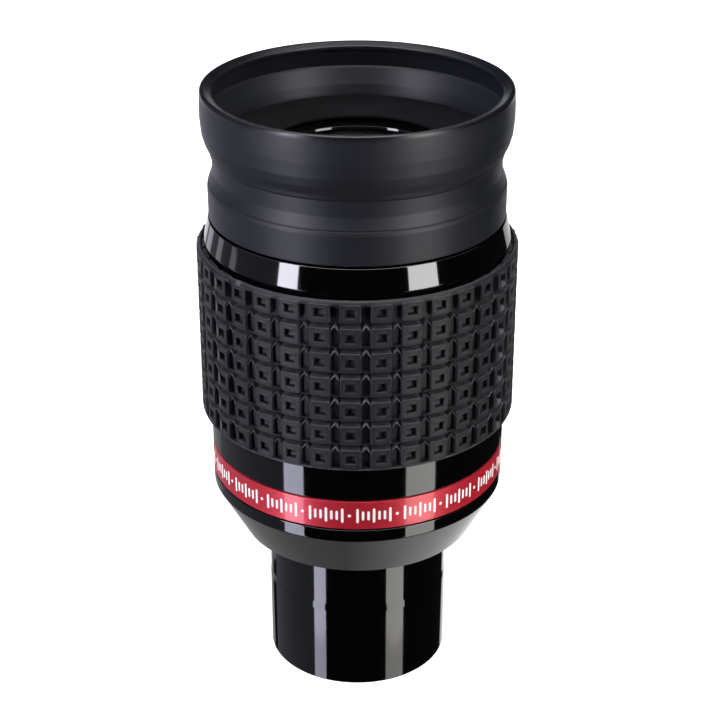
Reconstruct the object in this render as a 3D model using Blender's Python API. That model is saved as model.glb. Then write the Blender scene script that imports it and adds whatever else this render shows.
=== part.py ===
"""Telescope eyepiece for a 1.25 inch focuser, with a fold-down rubber eyecup.

The eyepiece stands on its nosepiece: the optical axis is +Z, the origin is the centre of the
nosepiece's end face, and light travels up through the barrel to the eye lens at the top.
Every part is turned about the axis, so each is drawn as a closed half-section in millimetres,
as (radius, height) points, and spun.
"""

import math

import bmesh
import bpy

# ---------------------------------------------------------------- driving dimensions, mm

MM = 0.001
GAP = 0.3                       # clearance between neighbouring parts
OUTER_FACETS = 48               # round the visible parts
INNER_FACETS = 32               # round the optics and their rings
LENS_ARC_STEPS = 4              # straight pieces from a lens face's centre to its edge
SMOOTH_BELOW = math.radians(35)

BARREL_R = 31.75 / 2            # the 1.25 inch standard
BARREL_RELIEF_R = 15.8          # the shallow undercut that the focuser's screw bites behind
BARREL_STEP_Z = 14.9            # top of the full-size band
BARREL_TAPER = 1.4
BARREL_EDGE = 0.17              # chamfer at the mouth
BARREL_BORE_R = 14.1
FILTER_THREAD_R = 14.35
FILTER_THREAD_DEPTH = 5.5
BARREL_SPIGOT_R = 15.2
BARREL_SPIGOT_TOP = 33.5
BARREL_LEDGE_R = 13.2           # stops the field lens cell

BODY_FOOT_Z = 26.9              # shoulder that seats on the focuser
BODY_FOOT_R = 20.6
FOOT_CHAMFER = 0.7              # inside the shoulder, so that it seats clear of the barrel
BODY_R = 25.45
CONE_TOP_Z = 35.7
GRIP_SEAT_R = 24.9
BODY_BORE_R = 22.2
JOINT_Z = 62.0                  # where the two housings meet, under the grip
UPPER_SPIGOT_Z = 54.0
UPPER_BORE_R = 20.9

BAND_BOTTOM_Z = 38.1
BAND_TOP_Z = 43.25
BAND_DEPTH = 0.55

GRIP_R = 27.0
GRIP_BORE_R = GRIP_SEAT_R + GAP
GRIP_BOTTOM_Z = 50.0
GRIP_TOP_Z = 80.15

FLARE_R = 25.75
FLARE_Z = 80.75
FLARE_TOP_R = 24.85
FLARE_TOP_Z = 84.65

TUBE_R = 22.6                   # the upper housing's neck, inside the eyecup
TUBE_TOP_Z = 94.9
NECK_BORE_R = TUBE_R + GAP
COLLAR_R = 24.8
COLLAR_TOP_Z = 90.4
NECK_R = 23.9
NECK_TOP_Z = 95.2
WEB_TOP_Z = 100.9
CUP_R = 25.65
CUP_WALL_BORE_R = 24.84
LIP_BORE_R = 23.6
LIP_TOP_Z = 106.7

PLATE_RIM_Z = 97.3
PLATE_MOUTH_Z = 96.3
PLATE_MOUTH_R = 15.3            # the clear opening over the eye lens
PLATE_SPIGOT_R = 20.6

CELL_R = 20.6
CELL_BORE_R = 17.7
CELL_BOTTOM_Z = 60.0
CELL_TOP_Z = 94.9
LENS_R = 17.4
FIELD_CELL_R = 13.8
FIELD_CELL_BORE_R = 12.6
FIELD_LENS_R = 12.3
FIELD_CELL_BOTTOM_Z = 8.5
FIELD_CELL_TOP_Z = 22.0
FIELD_STOP_R = 11.5
SPACER_WALL = 0.9

# lens faces: height of the edge, and how far the centre stands above it
EYE_LENS_FACES = ((93.2, 1.3), (91.4, -2.2))
DOUBLET_CROWN_FACES = ((84.5, 4.0), (83.0, -4.5))
DOUBLET_FLINT_FACES = ((83.0 - GAP, -4.5), (75.5, 0.8))
INNER_LENS_FACES = ((69.2, 3.0), (67.2, -2.0))
FIELD_FLINT_FACES = ((19.1, 1.5), (17.3 + GAP, -2.0))
FIELD_CROWN_FACES = ((17.3, -2.0), (11.1, 2.2))

# colour, roughness, metallic
GLOSS_BLACK = ((0.006, 0.006, 0.007), 0.08, 0.0)
MATT_BLACK = ((0.012, 0.012, 0.013), 0.55, 0.0)
EYECUP_RUBBER = ((0.035, 0.037, 0.042), 0.6, 0.0)
GRIP_RUBBER = ((0.025, 0.026, 0.029), 0.75, 0.0)
RED_ANODISED = ((0.55, 0.012, 0.05), 0.25, 0.8)
BLACK_ANODISED = ((0.02, 0.02, 0.022), 0.4, 0.5)
LENS_GLASS = ((0.75, 0.85, 0.82), 0.02, 0.0)


# ---------------------------------------------------------------- helpers

def clear_scene():
    for obj in list(bpy.data.objects):
        bpy.data.objects.remove(obj, do_unlink=True)


def material(name, finish):
    colour, roughness, metallic = finish
    made = bpy.data.materials.new(name)
    made.use_nodes = True
    shader = made.node_tree.nodes["Principled BSDF"]
    shader.inputs["Base Color"].default_value = (*colour, 1.0)
    shader.inputs["Roughness"].default_value = roughness
    shader.inputs["Metallic"].default_value = metallic
    return made


def signed_area(section):
    following = section[1:] + section[:1]
    return sum(r0 * z1 - r1 * z0 for (r0, z0), (r1, z1) in zip(section, following)) / 2


def ring_of(mesh, radius, height, facets):
    """One vertex on the axis, or a circle of them."""
    if radius == 0:
        return [mesh.verts.new((0, 0, height * MM))]
    steps = (2 * math.pi * i / facets for i in range(facets))
    return [mesh.verts.new((radius * MM * math.cos(a), radius * MM * math.sin(a), height * MM))
            for a in steps]


def join_rings(mesh, lower, upper, facets):
    """The faces between two neighbouring rings of a section that runs anticlockwise."""
    for i in range(facets):
        j = (i + 1) % facets
        if len(lower) == 1 and len(upper) == 1:
            return
        if len(lower) == 1:
            mesh.faces.new((lower[0], upper[j], upper[i]))
        elif len(upper) == 1:
            mesh.faces.new((lower[i], lower[j], upper[0]))
        else:
            mesh.faces.new((lower[i], lower[j], upper[j], upper[i]))


def turned(name, section, finish, facets=OUTER_FACETS):
    """A part turned about +Z from its closed half-section."""
    if signed_area(section) < 0:
        section = section[::-1]
    mesh = bmesh.new()
    rings = [ring_of(mesh, r, z, facets) for r, z in section]
    for lower, upper in zip(rings, rings[1:] + rings[:1]):
        join_rings(mesh, lower, upper, facets)
    data = bpy.data.meshes.new(name)
    mesh.to_mesh(data)
    mesh.free()
    data.shade_smooth()
    data.set_sharp_from_angle(angle=SMOOTH_BELOW)
    data.materials.append(material(name + "_finish", finish))
    obj = bpy.data.objects.new(name, data)
    bpy.context.scene.collection.objects.link(obj)
    return obj


def box_ring(name, outer_r, inner_r, bottom, top, finish, facets=INNER_FACETS):
    """A plain ring of rectangular section."""
    section = [(inner_r, bottom), (outer_r, bottom), (outer_r, top), (inner_r, top)]
    return turned(name, section, finish, facets)


def face_height(face, radius, at):
    edge_z, rise = face
    return edge_z + rise * (1 - (at / radius) ** 2)


def lens_face(face, radius):
    """Points of a lens face, from its edge to its centre."""
    radii = (radius * (1 - i / LENS_ARC_STEPS) for i in range(LENS_ARC_STEPS + 1))
    return [(r, face_height(face, radius, r)) for r in radii]


def lens(name, radius, faces):
    top, bottom = (lens_face(face, radius) for face in faces)
    return turned(name, bottom[::-1] + top, LENS_GLASS, INNER_FACETS)


def spacer(name, above, below):
    """A thin ring between the lower face of one lens and the upper face of the next."""
    inner_r = LENS_R - SPACER_WALL
    top = min(above[0], face_height(above, LENS_R, inner_r)) - GAP
    bottom = max(below[0], face_height(below, LENS_R, inner_r)) + GAP
    return box_ring(name, LENS_R, inner_r, bottom, top, BLACK_ANODISED)


# ---------------------------------------------------------------- barrel and field lens group

def nosepiece_barrel():
    return turned("nosepiece_barrel", [
        (FILTER_THREAD_R, 0),
        (BARREL_R - BARREL_EDGE, 0),
        (BARREL_R, BARREL_EDGE),
        (BARREL_R, BARREL_STEP_Z),
        (BARREL_RELIEF_R, BARREL_STEP_Z + BARREL_TAPER),
        (BARREL_RELIEF_R, BODY_FOOT_Z - GAP),
        (BARREL_SPIGOT_R, BODY_FOOT_Z - GAP),
        (BARREL_SPIGOT_R, BARREL_SPIGOT_TOP),
        (BARREL_LEDGE_R, BARREL_SPIGOT_TOP),
        (BARREL_LEDGE_R, FIELD_CELL_TOP_Z + GAP),
        (BARREL_BORE_R, FIELD_CELL_TOP_Z + GAP),
        (BARREL_BORE_R, FILTER_THREAD_DEPTH),
        (FILTER_THREAD_R, FILTER_THREAD_DEPTH),
    ], GLOSS_BLACK)


def field_lens_group():
    lip_r = FIELD_LENS_R - 1.0
    lip_z = FIELD_CELL_TOP_Z - 1.0
    turned("field_lens_cell", [
        (FIELD_CELL_BORE_R, FIELD_CELL_BOTTOM_Z),
        (FIELD_CELL_R, FIELD_CELL_BOTTOM_Z),
        (FIELD_CELL_R, FIELD_CELL_TOP_Z),
        (lip_r, FIELD_CELL_TOP_Z),
        (lip_r, lip_z),
        (FIELD_CELL_BORE_R, lip_z),
    ], BLACK_ANODISED, INNER_FACETS)
    box_ring("field_lens_retainer", FIELD_LENS_R, lip_r,
             FIELD_CELL_BOTTOM_Z + GAP, 10.8, BLACK_ANODISED)
    lens("field_lens_crown", FIELD_LENS_R, FIELD_CROWN_FACES)
    lens("field_lens_flint", FIELD_LENS_R, FIELD_FLINT_FACES)


# ---------------------------------------------------------------- housings, trim and grip

def main_housing():
    bore_r = BARREL_SPIGOT_R + GAP
    ledge_z = BARREL_SPIGOT_TOP + GAP
    groove_r = BODY_R - BAND_DEPTH - GAP
    groove_low = BAND_BOTTOM_Z - GAP
    groove_high = BAND_TOP_Z + GAP
    grip_step = GRIP_BOTTOM_Z - GAP
    return turned("main_housing", [
        (bore_r, BODY_FOOT_Z + FOOT_CHAMFER),
        (bore_r + FOOT_CHAMFER, BODY_FOOT_Z),
        (BODY_FOOT_R, BODY_FOOT_Z),
        (BODY_R, CONE_TOP_Z),
        (BODY_R, groove_low),
        (groove_r, groove_low),
        (groove_r, groove_high),
        (BODY_R, groove_high),
        (BODY_R, grip_step),
        (GRIP_SEAT_R, grip_step),
        (GRIP_SEAT_R, JOINT_Z),
        (BODY_BORE_R, JOINT_Z),
        (BODY_BORE_R, CONE_TOP_Z + 1.0),
        (BODY_BORE_R - 2.6, ledge_z),
        (bore_r, ledge_z),
    ], GLOSS_BLACK)


def trim_band():
    return box_ring("trim_band", BODY_R, BODY_R - BAND_DEPTH,
                    BAND_BOTTOM_Z, BAND_TOP_Z, RED_ANODISED, OUTER_FACETS)


def upper_housing():
    spigot_r = BODY_BORE_R - GAP
    return turned("upper_housing", [
        (UPPER_BORE_R, UPPER_SPIGOT_Z),
        (spigot_r, UPPER_SPIGOT_Z),
        (spigot_r, JOINT_Z + GAP),
        (GRIP_SEAT_R, JOINT_Z + GAP),
        (GRIP_SEAT_R, GRIP_TOP_Z + GAP),
        (FLARE_R - 0.25, GRIP_TOP_Z + GAP),
        (FLARE_R, FLARE_Z),
        (FLARE_TOP_R, FLARE_TOP_Z),
        (TUBE_R, FLARE_TOP_Z),
        (TUBE_R, TUBE_TOP_Z),
        (UPPER_BORE_R, TUBE_TOP_Z),
    ], GLOSS_BLACK)


def grip_sleeve():
    return turned("grip_sleeve", [
        (GRIP_BORE_R, GRIP_BOTTOM_Z),
        (GRIP_R - 0.4, GRIP_BOTTOM_Z),
        (GRIP_R, GRIP_BOTTOM_Z + 1.0),
        (GRIP_R, GRIP_TOP_Z - 1.1),
        (GRIP_R - 0.5, GRIP_TOP_Z),
        (GRIP_BORE_R, GRIP_TOP_Z),
    ], GRIP_RUBBER)


# ---------------------------------------------------------------- eye end

def top_plate():
    return turned("top_plate", [
        (PLATE_SPIGOT_R - 2.0, 92.5),
        (PLATE_SPIGOT_R, 92.5),
        (PLATE_SPIGOT_R, TUBE_TOP_Z + GAP),
        (TUBE_R, TUBE_TOP_Z + GAP),
        (TUBE_R, PLATE_RIM_Z - 0.3),
        (TUBE_R - 0.3, PLATE_RIM_Z),
        (PLATE_MOUTH_R, PLATE_MOUTH_Z),
        (PLATE_MOUTH_R, PLATE_MOUTH_Z - 0.6),
        (PLATE_MOUTH_R + 0.5, CELL_TOP_Z + 2 * GAP),
        (PLATE_SPIGOT_R - 2.0, CELL_TOP_Z + 2 * GAP),
    ], BLACK_ANODISED)


def eyecup_collar():
    """The thick band that grips the neck, and the narrow neck above its shoulder."""
    return turned("eyecup_collar", [
        (NECK_BORE_R, FLARE_TOP_Z + GAP),
        (COLLAR_R - 0.05, FLARE_TOP_Z + GAP),
        (COLLAR_R, COLLAR_TOP_Z - 0.7),
        (COLLAR_R - 0.05, COLLAR_TOP_Z),
        (COLLAR_R - 0.35, COLLAR_TOP_Z + 1.2),
        (NECK_R, COLLAR_TOP_Z + 1.7),
        (NECK_R, NECK_TOP_Z),
        (NECK_BORE_R, NECK_TOP_Z),
    ], EYECUP_RUBBER)


def eyecup_web():
    """The thin part of the bell, which bends when the cup is folded down."""
    foot_z = NECK_TOP_Z + GAP
    return turned("eyecup_web", [
        (NECK_BORE_R, foot_z),
        (NECK_R + 0.05, foot_z),
        (NECK_R + 0.5, foot_z + 0.5),
        (NECK_R + 0.8, foot_z + 1.2),
        (NECK_R + 1.3, foot_z + 2.6),
        (NECK_R + 1.6, foot_z + 4.0),
        (CUP_R, WEB_TOP_Z),
        (CUP_WALL_BORE_R, WEB_TOP_Z),
        (CUP_WALL_BORE_R - 0.24, WEB_TOP_Z - 0.7),
        (NECK_BORE_R, 97.6),
    ], EYECUP_RUBBER)


def eyecup_rim():
    """The cup's upright wall and its beaded lip, which stay stiff and move as one."""
    return turned("eyecup_rim", [
        (CUP_WALL_BORE_R, WEB_TOP_Z + GAP),
        (CUP_R, WEB_TOP_Z + GAP),
        (CUP_R, 102.5),
        (CUP_R - 0.1, 105.2),
        (CUP_R - 0.2, 106.2),
        (CUP_R - 0.4, 106.6),
        (CUP_R - 0.7, LIP_TOP_Z),
        (LIP_BORE_R + 0.2, 105.95),
        (LIP_BORE_R, 105.7),
        (LIP_BORE_R + 0.1, 105.3),
        (LIP_BORE_R + 0.7, 104.5),
        (CUP_WALL_BORE_R - 0.1, 103.0),
    ], EYECUP_RUBBER)


# ---------------------------------------------------------------- main lens group

def lens_cell():
    lip_r = LENS_R - 0.8
    lip_z = CELL_TOP_Z - 1.3
    head_r = PLATE_SPIGOT_R - 2.0 - GAP
    head_z = 92.5 - GAP
    return turned("lens_cell", [
        (CELL_BORE_R, CELL_BOTTOM_Z),
        (CELL_R, CELL_BOTTOM_Z),
        (CELL_R, head_z),
        (head_r, head_z),
        (head_r, CELL_TOP_Z),
        (lip_r, CELL_TOP_Z),
        (lip_r, lip_z),
        (CELL_BORE_R, lip_z),
    ], BLACK_ANODISED, INNER_FACETS)


def main_lenses():
    lens("eye_lens", LENS_R, EYE_LENS_FACES)
    spacer("upper_spacer", EYE_LENS_FACES[1], DOUBLET_CROWN_FACES[0])
    lens("doublet_crown", LENS_R, DOUBLET_CROWN_FACES)
    lens("doublet_flint", LENS_R, DOUBLET_FLINT_FACES)
    spacer("lower_spacer", DOUBLET_FLINT_FACES[1], INNER_LENS_FACES[0])
    lens("inner_lens", LENS_R, INNER_LENS_FACES)
    box_ring("cell_retaining_ring", LENS_R, LENS_R - 1.6, CELL_BOTTOM_Z + GAP, 66.5, BLACK_ANODISED)


def field_stop_ring():
    """The knife-edged diaphragm that bounds the view."""
    top_z = CELL_BOTTOM_Z - GAP
    return turned("field_stop_ring", [
        (FIELD_STOP_R + 0.3, 56.4),
        (PLATE_SPIGOT_R, 56.4),
        (PLATE_SPIGOT_R, top_z),
        (PLATE_SPIGOT_R - 2.0, top_z),
        (PLATE_SPIGOT_R - 2.0, 58.0),
        (FIELD_STOP_R, 57.0),
    ], MATT_BLACK, INNER_FACETS)


clear_scene()
nosepiece_barrel()
field_lens_group()
main_housing()
trim_band()
upper_housing()
grip_sleeve()
top_plate()
eyecup_collar()
eyecup_web()
eyecup_rim()
lens_cell()
main_lenses()
field_stop_ring()
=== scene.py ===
"""Visual model of a telescope eyepiece with a fold-down rubber eyecup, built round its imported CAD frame.

Sections are (radius, height) points in millimetres, spun about the optical axis, +Z. Azimuths are in
degrees from -Y, the side that faces the camera, and positive towards +X. Everything that is the same
as a CAD node takes its levels and radii from that node.
"""

import functools
import math

import bpy
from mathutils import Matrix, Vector

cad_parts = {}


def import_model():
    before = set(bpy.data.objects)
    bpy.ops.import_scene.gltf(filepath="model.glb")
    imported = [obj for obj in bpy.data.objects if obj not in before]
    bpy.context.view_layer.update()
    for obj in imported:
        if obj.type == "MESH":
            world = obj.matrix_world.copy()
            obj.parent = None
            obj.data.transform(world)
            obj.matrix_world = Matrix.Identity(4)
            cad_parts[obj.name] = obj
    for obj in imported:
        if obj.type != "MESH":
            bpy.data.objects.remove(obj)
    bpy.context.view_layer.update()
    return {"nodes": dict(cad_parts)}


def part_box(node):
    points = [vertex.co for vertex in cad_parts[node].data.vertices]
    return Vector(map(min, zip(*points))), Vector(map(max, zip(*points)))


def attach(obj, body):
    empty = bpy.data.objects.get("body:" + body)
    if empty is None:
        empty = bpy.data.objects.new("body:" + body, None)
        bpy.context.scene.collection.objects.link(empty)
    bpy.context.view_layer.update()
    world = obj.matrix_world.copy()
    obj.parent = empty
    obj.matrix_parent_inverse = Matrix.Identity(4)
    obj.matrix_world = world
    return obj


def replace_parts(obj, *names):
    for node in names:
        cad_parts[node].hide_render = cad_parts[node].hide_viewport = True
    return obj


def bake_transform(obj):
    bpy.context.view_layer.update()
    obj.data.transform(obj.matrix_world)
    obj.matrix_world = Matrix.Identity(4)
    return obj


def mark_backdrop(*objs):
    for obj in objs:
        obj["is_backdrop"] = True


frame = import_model()

# ---------------------------------------------------------------- constants

MM = 0.001
ROUND_STEPS = 224               # faces round the outer parts
INNER_STEPS = 128               # faces round the parts seen only through an opening
HOLD = 0.1                      # length of the short faces that keep a flat flat beside a fillet
SHARP_ABOVE = math.radians(40)
FILLET_TURN = math.radians(14)  # the most that one face of a fillet turns

GRIP_COLUMNS = 34
GRIP_ROWS = 7
GRIP_PHASE = -2.4               # azimuth of one column's centre
GRIP_ROW_PITCH = 4.32
GRIP_MIDDLE_OVER_FOOT = 15.03   # the middle row's centre above the sleeve's lower edge
GRIP_DEPTH = 1.3                # from the blocks' faces down to the channels' floor
BLOCK_HALF_WIDTH = 1.60
BLOCK_BELOW = 1.68              # from a row's centre down to its blocks' lower edges
BLOCK_ABOVE = 1.70
BAR_BELOW = 1.75                # from a row's centre down to its bars' lower edges
BAR_TOP_BELOW_ROW = 2.1         # from the next row's centre down to a bar's apex
BAR_ROOF = 1.05                 # height of a bar's pointed roof

NECK_R = 23.92                  # the eyecup's waist, above its collar
EYECUP_CUT = 0.45               # longest face across the eyecup's section
BEAD_R = 14.6                   # opening of the polished bead round the eye lens
TAPER_LEVELS = (14, 17)         # the barrel's taper into its undercut is between these heights
THREAD_PITCH = 0.6
THREAD_DEPTH = 0.16
THREAD_ENDS = (0.35, 5.3)       # lowest and highest turns of the filter thread

MARK_GROUPS = 20                # round the red band
MARK_HEIGHTS = (2.7, 1.7, 1.7, 2.7, 1.7, 1.7, 2.7)     # the bars of one group
MARK_STEP = 2.05                # degrees from bar to bar
MARK_WIDTH = 0.42
DOT_SIZE = (0.55, 0.56)
INK_THICKNESS = 0.03

CARD_DISTANCE = 0.6             # from the axis to the studio's glowing cards

CAMERA_PLACE = (0.0, -0.28538, 0.19715)
CAMERA_TILT = math.radians(63.82)
CAMERA_TURN = -0.00156
CAMERA_LENS = 91.63
CAMERA_SENSOR = 36.0


@functools.cache
def extent(node):
    """(outer radius, lowest height, highest height) of a turned CAD node, in millimetres."""
    low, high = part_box(node)
    return high.x / MM, low.z / MM, high.z / MM


# ---------------------------------------------------------------- mesh helpers

def polar(radius, azimuth, height):
    """A point in millimetres from its radius, its azimuth in degrees and its height."""
    a = math.radians(azimuth)
    return radius * math.sin(a), -radius * math.cos(a), height


def mesh_object(name, points, faces, finish):
    """An object made from points in millimetres, smooth but for its sharp edges."""
    data = bpy.data.meshes.new(name)
    data.from_pydata([(x * MM, y * MM, z * MM) for x, y, z in points], [], faces)
    data.shade_smooth()
    data.set_sharp_from_angle(angle=SHARP_ABOVE)
    data.materials.append(finish)
    made = bpy.data.objects.new(name, data)
    bpy.context.scene.collection.objects.link(made)
    return made


def signed_area(section):
    """Above zero when the section runs anticlockwise."""
    following = section[1:] + section[:1]
    return sum(p[0] * q[1] - q[0] * p[1] for p, q in zip(section, following)) / 2


def bend(before, corner, after, radius):
    """The points of one filleted corner, with short straight faces at both ends."""
    to_before, to_after = before - corner, after - corner
    half = to_before.angle(to_after) / 2
    cut = min(radius / math.tan(half), 0.47 * to_before.length, 0.47 * to_after.length)
    start = corner + to_before.normalized() * cut
    end = corner + to_after.normalized() * cut
    steps = max(2, math.ceil((math.pi - 2 * half) / FILLET_TURN))
    points = []
    for i in range(steps + 1):
        t = i / steps
        points.append((1 - t) ** 2 * start + 2 * t * (1 - t) * corner + t ** 2 * end)
    if to_before.length / 2 - cut > HOLD:
        points.insert(0, start + to_before.normalized() * HOLD)
    if to_after.length / 2 - cut > HOLD:
        points.append(end + to_after.normalized() * HOLD)
    return points


def rounded(corners):
    """A closed section from corners of (radius, height, fillet). A corner on the axis stays a point."""
    section = []
    for i, (r, z, fillet) in enumerate(corners):
        before = Vector(corners[i - 1][:2])
        after = Vector(corners[(i + 1) % len(corners)][:2])
        if fillet == 0:
            section.append((r, z))
        else:
            section += [tuple(p) for p in bend(before, Vector((r, z)), after, fillet)]
    return section


def evenly_cut(section, longest, chosen=lambda p, q: True):
    """The same section with the chosen faces, from p to q, cut into pieces no longer than longest."""
    cut = []
    for p, q in zip(section, section[1:] + section[:1]):
        pieces = max(1, math.ceil(math.dist(p, q) / longest)) if chosen(p, q) else 1
        cut += [(p[0] + (q[0] - p[0]) * i / pieces, p[1] + (q[1] - p[1]) * i / pieces)
                for i in range(pieces)]
    return cut


def turned(name, section, finish, steps=ROUND_STEPS, radius_at=None):
    """A part spun about the axis from its closed section. radius_at(r, z, azimuth) may reshape it."""
    if signed_area(section) < 0:
        section = section[::-1]
    points, rings = [], []
    for r, z in section:
        count = 1 if r == 0 else steps
        rings.append(range(len(points), len(points) + count))
        for i in range(count):
            azimuth = 360 * i / steps
            radius = radius_at(r, z, azimuth) if radius_at else r
            points.append(polar(radius, azimuth, z))
    faces = []
    for lower, upper in zip(rings, rings[1:] + rings[:1]):
        if len(lower) == 1 and len(upper) == 1:
            continue
        for i in range(steps):
            j = (i + 1) % steps
            if len(lower) == 1:
                faces.append((lower[0], upper[j], upper[i]))
            elif len(upper) == 1:
                faces.append((lower[i], lower[j], upper[0]))
            else:
                faces.append((lower[i], lower[j], upper[j], upper[i]))
    return mesh_object(name, points, faces, finish)


def half_section(node):
    """The section of a turned CAD node, in order, read from the edges that lie on the +X side."""
    data = frame["nodes"][node].data
    on_plane = {v.index: (round(v.co.x / MM, 3), round(v.co.z / MM, 3))
                for v in data.vertices if abs(v.co.y) < 1e-7 and v.co.x > -1e-7}
    links = {}
    for edge in data.edges:
        ends = [on_plane.get(i) for i in edge.vertices]
        if None not in ends and ends[0] != ends[1]:
            links.setdefault(ends[0], set()).add(ends[1])
            links.setdefault(ends[1], set()).add(ends[0])
    on_axis = [p for p in links if p[0] == 0]
    start = min(on_axis or links, key=lambda p: (p[1], p[0]))
    chain = [start]
    while True:
        onward = sorted(links[chain[-1]] - set(chain))
        if not onward:
            return chain
        chain.append(onward[0])


def smooth_copy(node, finish, fillet, steps=INNER_STEPS):
    """A rounder, edge-broken copy of a turned CAD node, which it replaces."""
    corners = [(r, z, fillet if r else 0) for r, z in half_section(node)]
    made = turned(node + "_turned", rounded(corners), finish, steps)
    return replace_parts(made, node)


# ---------------------------------------------------------------- material helpers

def new_shader(name, colour, roughness, sockets=None):
    """A new material and its Principled shader. Whatever is the same all over is set on its sockets."""
    made = bpy.data.materials.new(name)
    made.use_nodes = True
    shader = made.node_tree.nodes["Principled BSDF"]
    shader.inputs["Base Color"].default_value = (*colour, 1)
    shader.inputs["Roughness"].default_value = roughness
    for socket, value in (sockets or {}).items():
        shader.inputs[socket].default_value = value
    return made, shader


def add(tree, kind, inputs, **settings):
    """A node whose inputs are numbers or the outputs of other nodes."""
    node = tree.nodes.new(kind)
    for setting, value in settings.items():
        setattr(node, setting, value)
    for socket, value in inputs.items():
        if isinstance(value, bpy.types.NodeSocket):
            tree.links.new(value, node.inputs[socket])
        else:
            node.inputs[socket].default_value = value
    return node


def object_place(tree, stretch=(1, 1, 1)):
    """The surface point in metres, scaled by stretch."""
    where = add(tree, "ShaderNodeTexCoord", {}).outputs["Object"]
    return add(tree, "ShaderNodeMapping", {"Vector": where, "Scale": stretch}).outputs["Vector"]


def noise(tree, scale, detail=3, stretch=(1, 1, 1), roughness=0.5):
    """Cloudy noise with features of about 1 / scale metres."""
    return add(tree, "ShaderNodeTexNoise", {
        "Vector": object_place(tree, stretch), "Scale": scale, "Detail": detail,
        "Roughness": roughness}).outputs["Fac"]


def remapped(tree, value, old, new):
    """A value moved from its old (low, high) to a new one, and held inside it."""
    return add(tree, "ShaderNodeMapRange", {
        "Value": value, "From Min": old[0], "From Max": old[1],
        "To Min": new[0], "To Max": new[1]}).outputs["Result"]


def mixed(tree, factor, first, second):
    """A blend of two colours."""
    node = tree.nodes.new("ShaderNodeMix")
    node.data_type = "RGBA"
    tree.links.new(factor, node.inputs["Factor"])
    for socket, colour in ((node.inputs[6], first), (node.inputs[7], second)):
        if isinstance(colour, bpy.types.NodeSocket):
            tree.links.new(colour, socket)
        else:
            socket.default_value = (*colour, 1)
    return node.outputs[2]


def vary_roughness(tree, shader, value, low, high):
    """Lets a noise move the roughness between low and high."""
    tree.links.new(remapped(tree, value, (0.3, 0.7), (low, high)), shader.inputs["Roughness"])


def relief(tree, shader, layers):
    """Raises the surface by each (value, height in metres) of layers."""
    normal = None
    for value, height in layers:
        inputs = {"Height": value, "Distance": height, "Strength": 1.0}
        if normal is not None:
            inputs["Normal"] = normal
        normal = add(tree, "ShaderNodeBump", inputs).outputs["Normal"]
    tree.links.new(normal, shader.inputs["Normal"])


def edge_factor(tree, low, high):
    """0 on flats and hollows, 1 on sharp outer edges."""
    point = add(tree, "ShaderNodeNewGeometry", {}).outputs["Pointiness"]
    return remapped(tree, point, (low, high), (0, 1))


# ---------------------------------------------------------------- materials

def gloss_black():
    """Thick polished black enamel, with faint handling haze."""
    made, shader = new_shader("gloss_black_enamel", (0.0007, 0.0006, 0.0008), 0.05)
    tree = made.node_tree
    haze = noise(tree, 90, 4)
    vary_roughness(tree, shader, haze, 0.035, 0.075)
    relief(tree, shader, [(noise(tree, 260, 1), 1.2e-6)])
    tree.links.new(mixed(tree, haze, (0.0005, 0.0004, 0.0006), (0.0010, 0.0009, 0.0011)),
                   shader.inputs["Base Color"])
    return made


def satin_black(name, sheen, paleness):
    """Turned, anodised aluminium. Sheen is its specular level, and paleness scales its colour."""
    made, shader = new_shader(name, (0.004, 0.004, 0.0045), 0.42, {"Specular IOR Level": sheen})
    tree = made.node_tree
    place = add(tree, "ShaderNodeTexCoord", {}).outputs["Object"]
    flat = add(tree, "ShaderNodeVectorMath", {0: place, 1: (1, 1, 0)}, operation="MULTIPLY").outputs[0]
    radius = add(tree, "ShaderNodeVectorMath", {0: flat}, operation="LENGTH").outputs["Value"]
    height = add(tree, "ShaderNodeSeparateXYZ", {"Vector": place}).outputs["Z"]
    along = add(tree, "ShaderNodeMath", {0: radius, 1: height}, operation="ADD").outputs[0]
    rings = add(tree, "ShaderNodeTexNoise", {"W": along, "Scale": 5200.0, "Detail": 2.0},
                noise_dimensions="1D").outputs["Fac"]
    relief(tree, shader, [(rings, 4e-6)])
    cloud = noise(tree, 160, 3)
    vary_roughness(tree, shader, cloud, 0.36, 0.5)
    dark, pale = (0.0030, 0.0030, 0.0034), (0.0048, 0.0048, 0.0052)
    body = mixed(tree, cloud, [c * paleness for c in dark], [c * paleness for c in pale])
    tree.links.new(body, shader.inputs["Base Color"])
    return made


def polished_black():
    """Black anodised aluminium, polished round the lens."""
    made, shader = new_shader("polished_black_anodised", (0.003, 0.003, 0.0035), 0.06,
                              {"Specular IOR Level": 0.35})
    tree = made.node_tree
    cloud = noise(tree, 200, 3)
    vary_roughness(tree, shader, cloud, 0.05, 0.08)
    relief(tree, shader, [(noise(tree, 500, 2), 1.5e-6)])
    tree.links.new(mixed(tree, cloud, (0.0024, 0.0024, 0.0028), (0.0040, 0.0040, 0.0045)),
                   shader.inputs["Base Color"])
    return made


def matt_black():
    """Light-trap paint: dead flat and slightly coarse."""
    made, shader = new_shader("matt_black_paint", (0.006, 0.006, 0.006), 0.85)
    tree = made.node_tree
    coarse = noise(tree, 3500, 4)
    relief(tree, shader, [(coarse, 2e-5)])
    tree.links.new(mixed(tree, coarse, (0.003, 0.003, 0.003), (0.006, 0.006, 0.006)),
                   shader.inputs["Base Color"])
    return made


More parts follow.
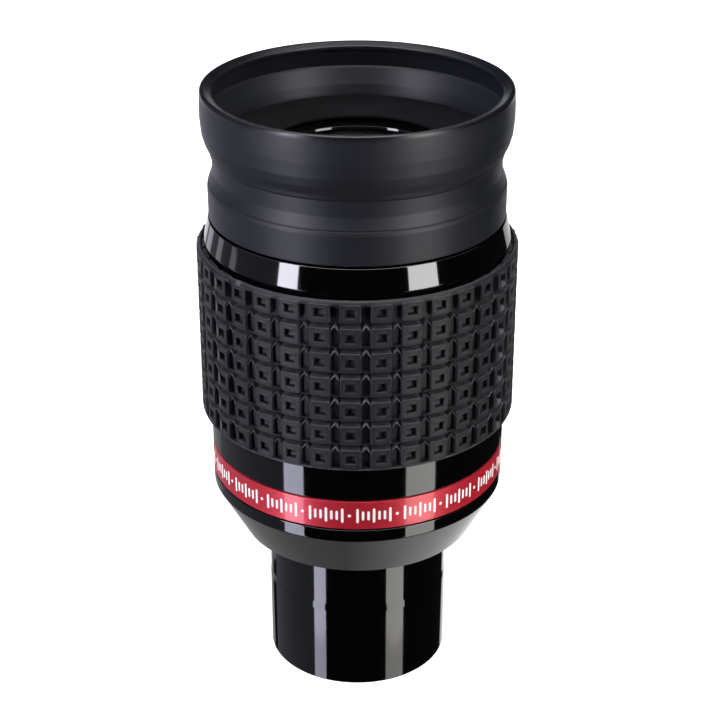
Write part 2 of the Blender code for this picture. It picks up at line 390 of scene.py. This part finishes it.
def eyecup_rubber():
    """Smooth moulded rubber: a fine skin with soft bloom, rubbed glossier at the lip."""
    made, shader = new_shader("eyecup_rubber_skin", (0.013, 0.014, 0.018), 0.44,
                              {"Specular IOR Level": 0.24})
    tree = made.node_tree
    bloom = noise(tree, 70, 5)
    skin = noise(tree, 5200, 3)
    relief(tree, shader, [(skin, 6e-6), (noise(tree, 900, 2), 6e-6)])
    place = add(tree, "ShaderNodeTexCoord", {}).outputs["Object"]
    height = add(tree, "ShaderNodeSeparateXYZ", {"Vector": place}).outputs["Z"]
    lip = extent("eyecup_rim")[2] * MM
    rubbed = remapped(tree, height, (lip - 1.3 * MM, lip - 0.6 * MM), (0.0, 0.20))
    skin_roughness = remapped(tree, bloom, (0.3, 0.7), (0.42, 0.48))
    rough = add(tree, "ShaderNodeMath", {0: skin_roughness, 1: rubbed}, operation="SUBTRACT").outputs[0]
    tree.links.new(rough, shader.inputs["Roughness"])
    body = mixed(tree, bloom, (0.0034, 0.0037, 0.0054), (0.0048, 0.0052, 0.0072))
    tree.links.new(body, shader.inputs["Base Color"])
    return made


def grip_rubber():
    """Moulded grip rubber with fine grain all over; its sharp outer edges are painted lighter, a painted
    highlight.
    """
    made, shader = new_shader("grip_rubber_grain", (0.012, 0.012, 0.013), 0.5,
                              {"Specular IOR Level": 0.2})
    tree = made.node_tree
    grain = noise(tree, 4200, 5, roughness=0.65)
    patch = noise(tree, 120, 4)
    relief(tree, shader, [(grain, 3.2e-5), (noise(tree, 1500, 2), 1.6e-5)])
    vary_roughness(tree, shader, grain, 0.42, 0.58)
    body = mixed(tree, patch, (0.0034, 0.0035, 0.0045), (0.0052, 0.0053, 0.0066))
    # sharp edges painted lighter: a painted highlight where the edges catch the light
    painted_edge_highlight = mixed(tree, edge_factor(tree, 0.52, 0.62), body, (0.060, 0.060, 0.066))
    tree.links.new(painted_edge_highlight, shader.inputs["Base Color"])
    return made


def red_anodised():
    """Bright red anodised trim with fine turning lines under a clear glossy surface."""
    made, shader = new_shader("red_anodised_trim", (0.40, 0.020, 0.032), 0.38, {
        "Metallic": 0.35, "Coat Weight": 0.45, "Coat Roughness": 0.06})
    tree = made.node_tree
    lines = noise(tree, 60, 3, stretch=(0.4, 0.4, 90))
    relief(tree, shader, [(lines, 1.5e-6)])
    vary_roughness(tree, shader, lines, 0.30, 0.44)
    cloud = noise(tree, 140, 3)
    tree.links.new(mixed(tree, cloud, (0.39, 0.014, 0.026), (0.46, 0.018, 0.034)),
                   shader.inputs["Base Color"])
    return made


def white_ink():
    """Slightly uneven white pad-printed ink."""
    made, shader = new_shader("white_ink", (0.8, 0.8, 0.8), 0.45)
    tree = made.node_tree
    cover = noise(tree, 2600, 3)
    relief(tree, shader, [(cover, 8e-6)])
    vary_roughness(tree, shader, cover, 0.38, 0.55)
    tree.links.new(mixed(tree, cover, (0.78, 0.78, 0.79), (0.90, 0.90, 0.90)),
                   shader.inputs["Base Color"])
    return made


def coated_glass():
    """Optical glass with an anti-reflection coating that reflects a dim green, and a trace of dust."""
    made, shader = new_shader("coated_glass", (0.96, 0.99, 0.97), 0.004, {
        "Transmission Weight": 1.0, "IOR": 1.52, "Specular Tint": (0.09, 0.17, 0.13, 1.0)})
    tree = made.node_tree
    dust = noise(tree, 1400, 6, roughness=0.7)
    tree.links.new(remapped(tree, dust, (0.62, 0.8), (0.004, 0.05)), shader.inputs["Roughness"])
    return made


# ---------------------------------------------------------------- eyecup

def eyecup(rubber):
    """Collar, neck, bell and beaded lip, moulded in one."""
    collar_r, foot, _ = extent("eyecup_collar")
    cup_r, _, top = extent("eyecup_rim")
    _, web_foot, web_top = extent("eyecup_web")
    bore = half_section("eyecup_collar")[0][0]
    corners = [
        (bore, foot, 0.15),
        (collar_r - 0.03, foot, 0.28),
        (collar_r + 0.01, foot + 5.05, 0.5),       # the collar's rolled upper edge
        (collar_r - 0.12, foot + 5.65, 0.06),
        (collar_r - 0.26, foot + 5.71, 0.03),      # a fine groove above it
        (collar_r - 0.26, foot + 5.83, 0.03),
        (collar_r - 0.22, foot + 5.95, 0.06),
        (collar_r - 0.56, foot + 6.85, 0.8),
        (NECK_R, foot + 7.85, 0.8),
        (NECK_R, web_foot - 0.05, 0.2),
        (NECK_R + 0.28, web_foot + 0.2, 0.25),     # the bell's underside
        (cup_r - 1.26, web_foot + 1.0, 0.8),
        (cup_r - 0.60, web_foot + 2.4, 1.3),
        (cup_r - 0.18, web_foot + 3.9, 1.6),
        (cup_r + 0.03, web_top + 0.9, 2.0),
        (cup_r + 0.03, top - 3.0, 3.0),
        (cup_r - 0.08, top + 0.06, 1.15),          # the lip, whose top slopes inwards
        (cup_r - 2.05, top - 0.86, 0.22),
        (cup_r - 1.95, top - 1.4, 0.2),
        (cup_r - 1.45, top - 1.9, 0.4),            # the undercut below the lip
        (cup_r - 0.70, web_top + 1.15, 0.2),
        (cup_r - 1.00, web_top + 0.88, 0.12),
        (cup_r - 2.25, web_foot + 3.6, 1.4),       # the cone down to the top plate
        (bore + 0.12, web_foot + 2.3, 0.6),
        (bore, web_foot + 1.8, 0.15),
    ]
    made = turned("eyecup", evenly_cut(rounded(corners), EYECUP_CUT), rubber)
    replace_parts(made, "eyecup_collar", "eyecup_web", "eyecup_rim")
    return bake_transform(made)


# ---------------------------------------------------------------- housings and trim

def upper_housing(enamel):
    """The flared ring under the eyecup, its spigot under the grip and the neck inside the cup."""
    outer = extent("upper_housing")[0]
    corners = [(r, z, 0.35 if abs(r - outer) < 0.01 else 0.15) for r, z in half_section("upper_housing")]
    made = turned("upper_housing_enamel", rounded(corners), enamel)
    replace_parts(made, "upper_housing")
    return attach(made, "housing")


def main_housing(enamel):
    """The body: foot, cone, grooved band seat and grip seat."""
    chain = half_section("main_housing")
    widest = max(r for r, z in chain)
    cone_top = min(z for r, z in chain if r == widest)
    corners = [(r, z, 0.6 if (r, z) == (widest, cone_top) else 0.12) for r, z in chain]
    made = turned("main_housing_enamel", rounded(corners), enamel)
    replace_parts(made, "main_housing")
    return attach(made, "housing")


def trim_band(red):
    """The red ring let into the body's groove."""
    corners = [(r, z, 0.08) for r, z in half_section("trim_band")]
    made = turned("trim_band_ring", rounded(corners), red)
    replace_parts(made, "trim_band")
    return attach(made, "housing")


def printed_patch(points, faces, outline, radius, thickness):
    """Adds one closed patch of ink. The outline is (azimuth, height), anticlockwise seen from outside."""
    base = len(points)
    count = len(outline)
    for r in (radius - thickness, radius + thickness):
        points += [polar(r, azimuth, height) for azimuth, height in outline]
    low, high = range(base, base + count), range(base + count, base + 2 * count)
    faces.append(tuple(high))
    faces.append(tuple(reversed(low)))
    for i in range(count):
        j = (i + 1) % count
        faces.append((low[i], low[j], high[j], high[i]))


def bar_outline(azimuth, middle, width, height, radius):
    """A round-ended upright bar as (azimuth, height) points."""
    degrees = math.degrees(1 / radius)
    half, reach = width / 2, height / 2 - width / 2
    turns = [math.radians(d) for d in range(0, 181, 30)]
    upper = [(azimuth + degrees * half * math.cos(t), middle + reach + half * math.sin(t)) for t in turns]
    lower = [(azimuth - degrees * half * math.cos(t), middle - reach - half * math.sin(t)) for t in turns]
    return upper + lower


def band_marks(ink):
    """Plain graduation marks round the band: upright bars in groups, with a dot between groups."""
    outer, low, high = extent("trim_band")
    middle = (low + high) / 2
    points, faces = [], []

    def mark(azimuth, width, height):
        outline = bar_outline(azimuth, middle, width, height, outer)
        printed_patch(points, faces, outline, outer, INK_THICKNESS)

    for group in range(MARK_GROUPS):
        start = 360 * group / MARK_GROUPS
        for i, height in enumerate(MARK_HEIGHTS):
            mark(start + i * MARK_STEP, MARK_WIDTH, height)
        mark(start + (len(MARK_HEIGHTS) + 0.3) * MARK_STEP, *DOT_SIZE)
    made = mesh_object("band_marks", points, faces, ink)
    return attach(made, "housing")


# ---------------------------------------------------------------- grip

def grip_azimuth(column):
    """The azimuth of a column's centre, or of a channel's at half numbers."""
    return GRIP_PHASE + 360 * column / GRIP_COLUMNS


def wrapped(radius, azimuth, across, height):
    """A point at a distance across the surface from an azimuth, measured at the grip's outer radius."""
    return polar(radius, azimuth + math.degrees(across / extent("grip_sleeve")[0]), height)


def rounded_rectangle(half_width, low, high, corner):
    """(across, height) points, anticlockwise seen from outside, with two between corners on each side."""
    points = []
    middles = ((half_width - corner, high - corner, 0), (corner - half_width, high - corner, 90),
               (corner - half_width, low + corner, 180), (half_width - corner, low + corner, 270))
    for i, (x, z, turn) in enumerate(middles):
        for extra in (0, 30, 60, 90):
            a = math.radians(turn + extra)
            points.append((x + corner * math.cos(a), z + corner * math.sin(a)))
        after = middles[(i + 1) % 4]
        a = math.radians(after[2])
        next_point = (after[0] + corner * math.cos(a), after[1] + corner * math.sin(a))
        last = points[-1]
        points += [(last[0] + (next_point[0] - last[0]) * t, last[1] + (next_point[1] - last[1]) * t)
                   for t in (1 / 3, 2 / 3)]
    return points


def stack(points, faces, azimuth, rings):
    """Joins rings of (depth, outline) into one raised shape, closed at its last ring."""
    outer = extent("grip_sleeve")[0]
    count = len(rings[0][1])
    starts = []
    for depth, outline in rings:
        starts.append(len(points))
        points += [wrapped(outer - depth, azimuth, across, height) for across, height in outline]
    for a, b in zip(starts, starts[1:]):
        for i in range(count):
            j = (i + 1) % count
            faces.append((a + i, a + j, b + j, b + i))
    faces.append(tuple(range(starts[-1], starts[-1] + count)))
    faces.append(tuple(reversed(range(starts[0], starts[0] + count))))


def grip_block(points, faces, azimuth, middle, low, high):
    """One raised block with drafted sides, rolled edges and a square recess."""
    sides = ((GRIP_DEPTH + 0.15, 0.16), (0.18, 0.03), (0.06, 0.0), (0.0, -0.07), (0.0, -0.13))
    rings = []
    for depth, swell in sides:
        rings.append((depth, rounded_rectangle(BLOCK_HALF_WIDTH + swell, low - swell, high + swell, 0.2)))
    for depth, half in ((0.0, 0.92), (0.05, 0.87), (0.85, 0.78), (0.9, 0.7)):
        rings.append((depth, rounded_rectangle(half, middle - half * 0.86, middle + half * 0.86, 0.12)))
    stack(points, faces, azimuth, rings)


def house_outline(half_width, low, shoulder, apex):
    """(across, height) points of an upright bar with a pointed roof, anticlockwise from outside."""
    return [(half_width, low), (half_width, shoulder), (half_width / 2, (shoulder + apex) / 2),
            (0, apex), (-half_width / 2, (shoulder + apex) / 2), (-half_width, shoulder),
            (-half_width, low), (0, low)]


def grip_bar(points, faces, azimuth, low, shoulder, apex):
    """The low bar between two blocks, whose pointed roof stands proudest."""
    outer = extent("grip_sleeve")[0]
    outline = house_outline(0.84, low, shoulder, apex)
    ridge = house_outline(0.72, low + 0.1, shoulder - 0.07, apex - 0.17)
    inset = house_outline(0.62, low + 0.2, shoulder - 0.12, apex - 0.32)
    fall = (shoulder + apex) / 2 - low

    def depth(height, roof):
        return roof + 0.25 * max(0.0, min(1.0, (apex - height) / fall))

    base = len(points)
    for ring, lift in ((outline, None), (outline, 0.18), (ridge, 0.10), (inset, 0.75)):
        for across, height in ring:
            deep = GRIP_DEPTH + 0.15 if lift is None else depth(height, lift)
            points.append(wrapped(outer - deep, azimuth, across, height))
    count = len(outline)
    for a in (base, base + count, base + 2 * count):
        for i in range(count):
            j = (i + 1) % count
            faces.append((a + i, a + j, a + count + j, a + count + i))
    top = base + 3 * count
    faces.append((top + 0, top + 1, top + 7))
    faces.append((top + 1, top + 2, top + 3, top + 7))
    faces.append((top + 3, top + 4, top + 5, top + 7))
    faces.append((top + 5, top + 6, top + 7))
    faces.append(tuple(reversed(range(base, base + count))))


def grip_sleeve_core(points, faces, outer, foot, top):
    """The sleeve under the pattern, with a foot rim and a top rim that arches over each channel."""
    floor = outer - GRIP_DEPTH
    inner = min(r for r, z in half_section("grip_sleeve"))
    arch = 0.78                 # half the width of an arch
    skirt = top - 1.25          # the top rim's lower edge, between arches
    rows = [(inner, foot), (outer - 0.25, foot), (outer - 0.08, foot + 0.06), (outer - 0.02, foot + 0.2),
            (outer - 0.08, foot + 0.36), (floor, foot + 0.44), (floor, skirt - 0.6)]
    lips = ((floor, 0.0), (outer - 0.12, 0.02), (outer - 0.03, 0.07), (outer, 0.16))
    crown = [(outer - 0.02, top - 0.95), (outer - 0.12, top - 0.6), (outer - 0.28, top - 0.32),
             (outer - 0.48, top - 0.14), (outer - 0.68, top - 0.14), (outer - 0.85, top - 0.32),
             (inner + 0.7, top - 0.9), (inner, top - 1.0)]
    steps = GRIP_COLUMNS * 20
    azimuths = [GRIP_PHASE + 360 * i / steps for i in range(steps)]

    def arch_rise(azimuth):
        """How far the rim's lower edge is above the skirt level at this azimuth."""
        turn = 360 / GRIP_COLUMNS
        beside = ((azimuth - GRIP_PHASE) / turn) % 1 - 0.5
        across = abs(beside) * turn * math.radians(1) * outer
        return math.sqrt(max(0.0, arch ** 2 - across ** 2)) * 0.8

    base = len(points)
    for r, z in rows:
        points += [polar(r, a, z) for a in azimuths]
    for r, over in lips:
        points += [polar(r, a, skirt + over + arch_rise(a)) for a in azimuths]
    for r, z in crown:
        points += [polar(r, a, z) for a in azimuths]
    total = len(rows) + len(lips) + len(crown)
    for k in range(total):
        a, b = base + k * steps, base + ((k + 1) % total) * steps
        for i in range(steps):
            j = (i + 1) % steps
            faces.append((a + i, a + j, b + j, b + i))


def grip(rubber):
    """The moulded waffle grip: 34 columns of 7 blocks, with a roofed bar in every channel."""
    outer, foot, top = extent("grip_sleeve")
    points, faces = [], []
    grip_sleeve_core(points, faces, outer, foot, top)
    first = foot + GRIP_MIDDLE_OVER_FOOT - GRIP_ROW_PITCH * (GRIP_ROWS // 2)
    lowest, highest = foot + 0.2, top - 0.7     # the end rows run into the two rims
    for column in range(GRIP_COLUMNS):
        for row in range(GRIP_ROWS):
            middle = first + row * GRIP_ROW_PITCH
            low = middle - BLOCK_BELOW if row else lowest
            high = middle + BLOCK_ABOVE if row < GRIP_ROWS - 1 else highest
            grip_block(points, faces, grip_azimuth(column), middle, low, high)
            if row < GRIP_ROWS - 1:
                apex = middle + GRIP_ROW_PITCH - BAR_TOP_BELOW_ROW
                bar_low = middle - BAR_BELOW if row else lowest
                grip_bar(points, faces, grip_azimuth(column + 0.5), bar_low, apex - BAR_ROOF, apex)
    made = mesh_object("grip_moulding", points, faces, rubber)
    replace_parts(made, "grip_sleeve")
    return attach(made, "housing")


# ---------------------------------------------------------------- barrel and optics

def barrel(enamel):
    """The nosepiece, with a real filter thread inside its mouth."""
    corners = []
    for r, z in half_section("nosepiece_barrel"):
        on_taper = TAPER_LEVELS[0] < z < TAPER_LEVELS[1]
        corners.append((r, z, 0.6 if on_taper else 0.1))
    section = rounded(corners)
    thread_low, thread_top = THREAD_ENDS
    thread_r = min(r for r, z in section if z < 0.05)

    def on_thread(*points):
        return all(abs(r - thread_r) < 0.02 and z < thread_top + 0.2 for r, z in points)

    def radius_at(r, z, azimuth):
        if not on_thread((r, z)) or not thread_low <= z <= thread_top:
            return r
        phase = (z / THREAD_PITCH + azimuth / 360) % 1
        return r + THREAD_DEPTH * (1 - abs(2 * phase - 1))

    section = evenly_cut(section, THREAD_PITCH / 8, on_thread)
    made = turned("nosepiece_barrel_enamel", section, enamel, ROUND_STEPS, radius_at)
    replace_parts(made, "nosepiece_barrel")
    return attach(made, "housing")


def lens_copy(node, glass):
    """A lens with truly round faces through the CAD lens's edge and centre."""
    chain = half_section(node)
    radius = max(r for r, z in chain)
    bottom = [p for p in chain if p[0] == 0][0][1]
    top = chain[-1][1]
    edge = sorted(z for r, z in chain if r == radius)
    arc = 14
    section = [(radius * i / arc, bottom + (edge[0] - bottom) * (i / arc) ** 2) for i in range(arc + 1)]
    section += [(radius * i / arc, top + (edge[-1] - top) * (i / arc) ** 2) for i in range(arc, -1, -1)]
    section[0], section[-1] = (0, bottom), (0, top)
    made = turned(node + "_ground", section, glass, INNER_STEPS)
    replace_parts(made, node)
    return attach(made, "housing")


def lens_cell(polished):
    """The main lenses' cell, with the polished bead that frames the eye lens."""
    corners = [(r, z, 0.06) for r, z in half_section("lens_cell")]
    lip_r = min(r for r, z, _ in corners)
    lip_low = min(z for r, z, _ in corners if r == lip_r)
    top = max(z for r, z, _ in corners)
    bead = [(BEAD_R + 0.20, lip_low + 0.30, 0.04), (BEAD_R, lip_low + 0.40, 0.04),
            (BEAD_R + 0.17, lip_low + 0.78, 0.04), (BEAD_R + 0.45, lip_low + 0.85, 0.06)]
    lip_top = corners.index((lip_r, top, 0.06))    # the section runs up the lip's inner wall
    corners[lip_top:lip_top] = bead
    made = turned("lens_cell_turned", rounded(corners), polished, INNER_STEPS)
    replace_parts(made, "lens_cell")
    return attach(made, "housing")


def optics(glass, polished, satin, matt):
    """Every lens and ring on the light's way through the eyepiece."""
    for node in ("eye_lens", "doublet_crown", "doublet_flint", "inner_lens",
                 "field_lens_flint", "field_lens_crown"):
        lens_copy(node, glass)
    for node in ("upper_spacer", "lower_spacer", "cell_retaining_ring", "field_stop_ring"):
        made = smooth_copy(node, matt, 0.05)
        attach(made, "housing")
    for node in ("field_lens_cell", "field_lens_retainer"):
        made = smooth_copy(node, satin, 0.06)
        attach(made, "housing")
    lens_cell(polished)


def top_plate(satin):
    """The ring round the eye lens, dished towards its mouth."""
    chain = half_section("top_plate")
    mouth_r = min(r for r, z in chain)
    corners = [(r, z, 0.9 if r == mouth_r else 0.12) for r, z in chain]
    made = turned("top_plate_turned", rounded(corners), satin)
    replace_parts(made, "top_plate")
    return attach(made, "housing")


# ---------------------------------------------------------------- studio

def even_glow(name, colour, strength):
    """An evenly glowing surface."""
    made = bpy.data.materials.new(name)
    made.use_nodes = True
    tree = made.node_tree
    tree.nodes.clear()
    glow = add(tree, "ShaderNodeEmission", {"Color": (*colour, 1), "Strength": strength})
    out = tree.nodes.new("ShaderNodeOutputMaterial")
    tree.links.new(glow.outputs[0], out.inputs["Surface"])
    made.cycles.emission_sampling = "NONE"
    return made


def card(name, corners, colour, strength):
    """A glowing panel that only shiny surfaces see."""
    data = bpy.data.meshes.new(name)
    data.from_pydata(corners, [], [tuple(range(len(corners)))])
    data.materials.append(even_glow(name + "_glow", colour, strength))
    made = bpy.data.objects.new(name, data)
    bpy.context.scene.collection.objects.link(made)
    made.visible_camera = False
    made.visible_diffuse = False
    made.visible_shadow = False
    made.visible_volume_scatter = False
    return made


def upright_card(name, azimuths, elevations, colour, strength):
    """A card between two azimuths and two elevations, seen from the middle of the object."""
    middle_z = 0.05
    corners = []
    for azimuth, elevation in ((azimuths[0], elevations[0]), (azimuths[1], elevations[0]),
                               (azimuths[1], elevations[1]), (azimuths[0], elevations[1])):
        x, y, _ = polar(CARD_DISTANCE, azimuth, 0)
        corners.append((x, y, middle_z + CARD_DISTANCE * math.tan(math.radians(elevation))))
    return card(name, corners, colour, strength)


def curved_card(name, azimuths, elevations, colour, strength):
    """Several upright cards side by side, bent round the object."""
    count = max(1, round(abs(azimuths[1] - azimuths[0]) / 20))
    width = (azimuths[1] - azimuths[0]) / count
    for i in range(count):
        first = azimuths[0] + i * width
        upright_card(f"{name}_{i}", (first, first + width), elevations, colour, strength)


def ceiling(name, front, back, colour, strength):
    """A level panel overhead, between two distances behind the object."""
    half, height = 0.45, 0.9
    corners = [(-half, front, height), (half, front, height), (half, back, height), (-half, back, height)]
    return card(name, corners, colour, strength)


def table_reflection():
    """What the downward-facing cone reflects: a pale table, brighter towards the right."""
    half, near, far, below = 0.4, -0.2, 0.93, -0.5
    made = card("table_glow", [(-half, near, below), (half, near, below), (half, far, below),
                               (-half, far, below)], (1, 1, 1), 1.0)
    tree = made.data.materials[0].node_tree
    place = add(tree, "ShaderNodeTexCoord", {}).outputs["Object"]
    across = add(tree, "ShaderNodeSeparateXYZ", {"Vector": place}).outputs["X"]
    glow = tree.nodes["Emission"]
    tree.links.new(remapped(tree, across, (-0.04, 0.2), (0.43, 1.15)), glow.inputs["Strength"])
    return made


def soft_light(name, azimuth, elevation, distance, size, power, colour):
    """A square area light aimed at the middle of the object; the cards stand in for it in reflections."""
    data = bpy.data.lights.new(name, "AREA")
    data.shape = "SQUARE"
    data.size = size
    data.energy = power
    data.color = colour
    made = bpy.data.objects.new(name, data)
    bpy.context.scene.collection.objects.link(made)
    aim = Vector((0, 0, 0.06))
    x, y, _ = polar(math.cos(math.radians(elevation)), azimuth, 0)
    away = Vector((x, y, math.sin(math.radians(elevation))))
    made.location = aim + away * distance
    made.rotation_euler = away.to_track_quat("Z", "Y").to_euler()
    made.visible_glossy = False
    return made


def world():
    """White to the camera, dim to everything else."""
    made = bpy.data.worlds.new("studio")
    bpy.context.scene.world = made
    made.use_nodes = True
    tree = made.node_tree
    tree.nodes.clear()
    path = tree.nodes.new("ShaderNodeLightPath")
    seen = add(tree, "ShaderNodeBackground", {"Color": (1, 1, 1, 1), "Strength": 1.0})
    fill = add(tree, "ShaderNodeBackground", {"Color": (0.9, 0.95, 1, 1), "Strength": 0.16})
    gloss = add(tree, "ShaderNodeBackground", {"Color": (0.9, 0.95, 1, 1), "Strength": 0.012})
    dim = add(tree, "ShaderNodeMixShader", {0: path.outputs["Is Diffuse Ray"], 1: gloss.outputs[0],
                                            2: fill.outputs[0]})
    both = add(tree, "ShaderNodeMixShader", {0: path.outputs["Is Camera Ray"], 1: dim.outputs[0],
                                             2: seen.outputs[0]})
    out = tree.nodes.new("ShaderNodeOutputWorld")
    tree.links.new(both.outputs[0], out.inputs["Surface"])


def studio_floor():
    """A plain pale floor."""
    made, shader = new_shader("pale_floor", (0.5, 0.5, 0.5), 0.9)
    shader.inputs["Emission Color"].default_value = (1, 1, 1, 1)
    shader.inputs["Emission Strength"].default_value = 1.0
    half = 6.0
    data = bpy.data.meshes.new("floor")
    data.from_pydata([(-half, -half, 0), (half, -half, 0), (half, half, 0), (-half, half, 0)], [],
                     [(0, 1, 2, 3)])
    data.materials.append(made)
    floor = bpy.data.objects.new("floor", data)
    bpy.context.scene.collection.objects.link(floor)
    floor.visible_glossy = False
    floor.visible_diffuse = False
    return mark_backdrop(floor)


def studio():
    """World, floor, reflected cards and soft lights."""
    bpy.context.scene.view_settings.view_transform = "Standard"
    world()
    studio_floor()
    white, cool_white = (1.0, 1.0, 1.0), (0.97, 0.94, 1.08)
    cool, warm = (0.92, 0.92, 1.14), (1.0, 0.985, 0.94)
    cards = (    # name, azimuths, elevations, colour, strength
        ("strip_left_foot", (-58.5, -42), (-44, -36.5), cool, 5.0),
        ("strip_left_low", (-58.5, -42), (-36.5, -8), cool, 7.4),
        ("strip_left_high", (-57, -42), (-8, 40), cool_white, 20.5),
        ("strip_right_foot", (37.5, 62), (-44, -36.5), warm, 3.0),
        ("strip_right_low", (37.5, 62), (-36.5, -8), warm, 4.8),
        ("strip_right_high", (36, 58), (-8, 40), white, 13.5),
        ("wall_left", (-136, -58.5), (-50, 40), cool, 0.24),
        ("wall_left_high", (-166, -95), (-22, -3), cool_white, 1.3),
        ("wall_right_high", (140, 172), (-22, -3), white, 1.0),
        ("sky_left", (-150, -42), (42, 66), cool_white, 1.5),
        ("sky_right", (42, 150), (42, 66), white, 1.3),
        ("backdrop_left", (-166, -136), (-34, 8), white, 0.36),
        ("backdrop_middle_left", (-180, -166), (-50, 12), white, 1.0),
        ("backdrop_middle_right", (172, 180), (-50, 12), white, 1.0),
    )
    for name, azimuths, elevations, colour, strength in cards:
        curved_card(name, azimuths, elevations, colour, strength)
    table_reflection()
    ceiling("ceiling_front", -0.45, 0.12, white, 11.0)
    ceiling("ceiling_back", 0.12, 0.6, white, 2.0)
    soft_light("light_left", -70, 24, 0.9, 0.5, 14.0, (0.88, 0.92, 1.0))
    soft_light("light_right", 65, 24, 0.9, 0.5, 12.0, (1.0, 0.99, 0.97))
    soft_light("light_top", 180, 75, 0.9, 0.7, 3.2, (1.0, 1.0, 1.0))


def camera():
    """The photo's point of view."""
    data = bpy.data.cameras.new("view")
    data.lens = CAMERA_LENS
    data.sensor_width = CAMERA_SENSOR
    data.clip_start = 0.01
    made = bpy.data.objects.new("view", data)
    bpy.context.scene.collection.objects.link(made)
    made.location = CAMERA_PLACE
    made.rotation_euler = (CAMERA_TILT, 0, CAMERA_TURN)
    bpy.context.scene.camera = made


# ---------------------------------------------------------------- build

enamel = gloss_black()
satin = satin_black("satin_black_anodised", 0.25, 1.0)
dull_satin = satin_black("dull_black_anodised", 0.001, 2.4)
matt = matt_black()
eyecup(eyecup_rubber())
upper_housing(enamel)
grip(grip_rubber())
main_housing(enamel)
trim_band(red_anodised())
band_marks(white_ink())
barrel(enamel)
top_plate(dull_satin)
optics(coated_glass(), polished_black(), satin, matt)
studio()
camera()
